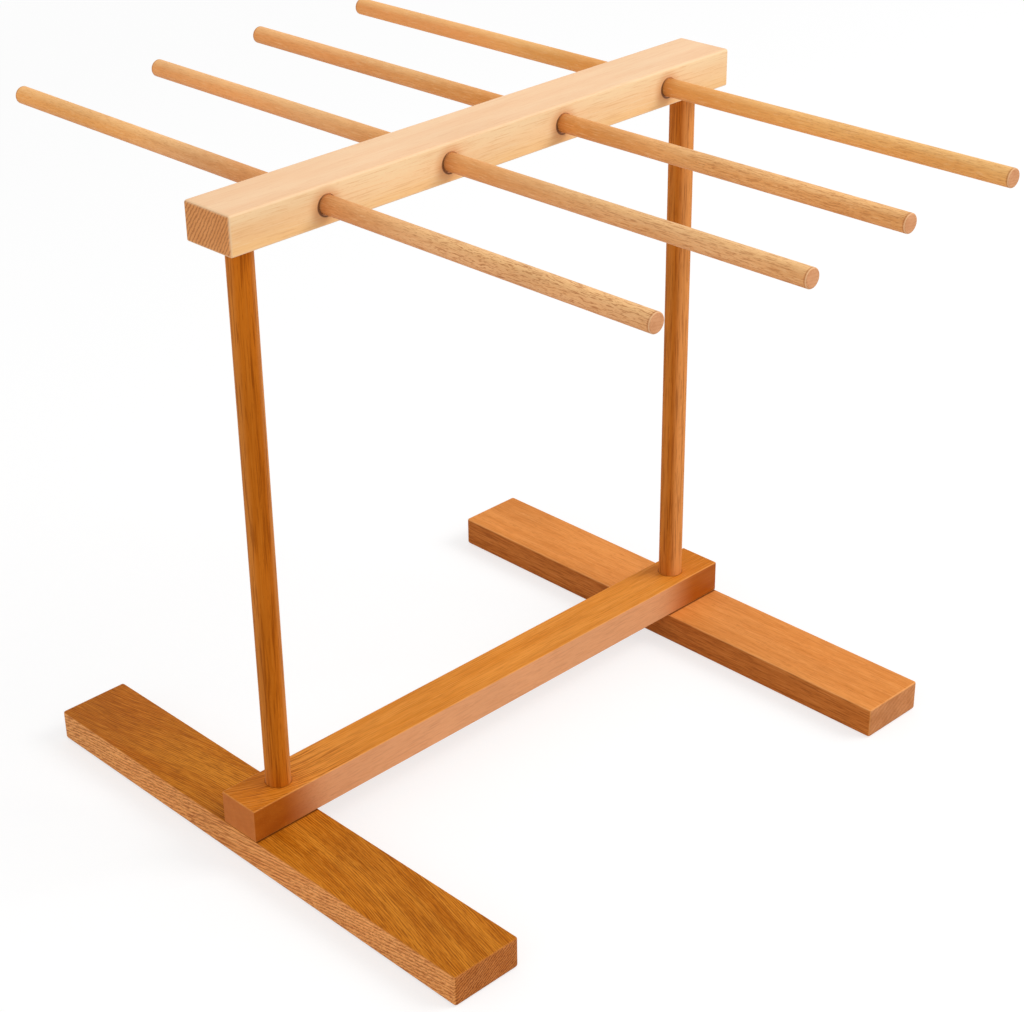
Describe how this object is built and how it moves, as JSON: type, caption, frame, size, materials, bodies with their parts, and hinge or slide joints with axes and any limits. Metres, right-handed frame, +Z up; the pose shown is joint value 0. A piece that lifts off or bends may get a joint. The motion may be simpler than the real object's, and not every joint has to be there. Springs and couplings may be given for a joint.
{
  "type": "pasta drying rack",
  "caption": "Free-standing wooden drying rack: flat feet under a rail, round posts, and a beam with loose rods through it, over which fresh strips are hung to dry.",
  "frame": {"origin": "on the floor, midway between the feet and under the middle of the beam", "axes": "+X along the rods and feet, +Y along the beam and rail from the front to the rear, +Z up"},
  "size_m": [0.466, 0.358, 0.355],
  "materials": {
    "beam_wood": "pale steamed beech, fine sanded and oiled",
    "rod_wood": "straight-grained beech dowel, sanded",
    "post_wood": "amber-stained beech dowel, satin",
    "rail_wood": "amber-stained beech, satin",
    "foot_wood": "amber-stained beech, satin",
    "pin_wood": "raw beech dowel",
    "screw_steel": "bright zinc-plated steel"
  },
  "bodies": {
    "stand": {"foot_front": "foot_wood", "foot_rear": "foot_wood", "base_rail": "rail_wood", "post_front": "post_wood", "post_rear": "post_wood", "screw_front": "screw_steel", "screw_rear": "screw_steel", "locating_pin_front": "pin_wood", "locating_pin_rear": "pin_wood"},
    "beam": {"top_beam": "beam_wood"},
    "rod_1": {"rod_1": "rod_wood"},
    "rod_2": {"rod_2": "rod_wood"},
    "rod_3": {"rod_3": "rod_wood"},
    "rod_4": {"rod_4": "rod_wood"}
  },
  "joints": [
    {"name": "beam_lift", "type": "slide", "parent": "stand", "child": "beam", "axis": [0, 0, 1], "range_m": [0, 0.015]},
    {"name": "rod_1_slide", "type": "slide", "parent": "beam", "child": "rod_1", "axis": [1, 0, 0], "range_m": [-0.2365, 0.2525]},
    {"name": "rod_2_slide", "type": "slide", "parent": "beam", "child": "rod_2", "axis": [1, 0, 0], "range_m": [-0.2525, 0.2365]},
    {"name": "rod_3_slide", "type": "slide", "parent": "beam", "child": "rod_3", "axis": [1, 0, 0], "range_m": [-0.2445, 0.2445]},
    {"name": "rod_4_slide", "type": "slide", "parent": "beam", "child": "rod_4", "axis": [1, 0, 0], "range_m": [-0.2445, 0.2445]}
  ]
}
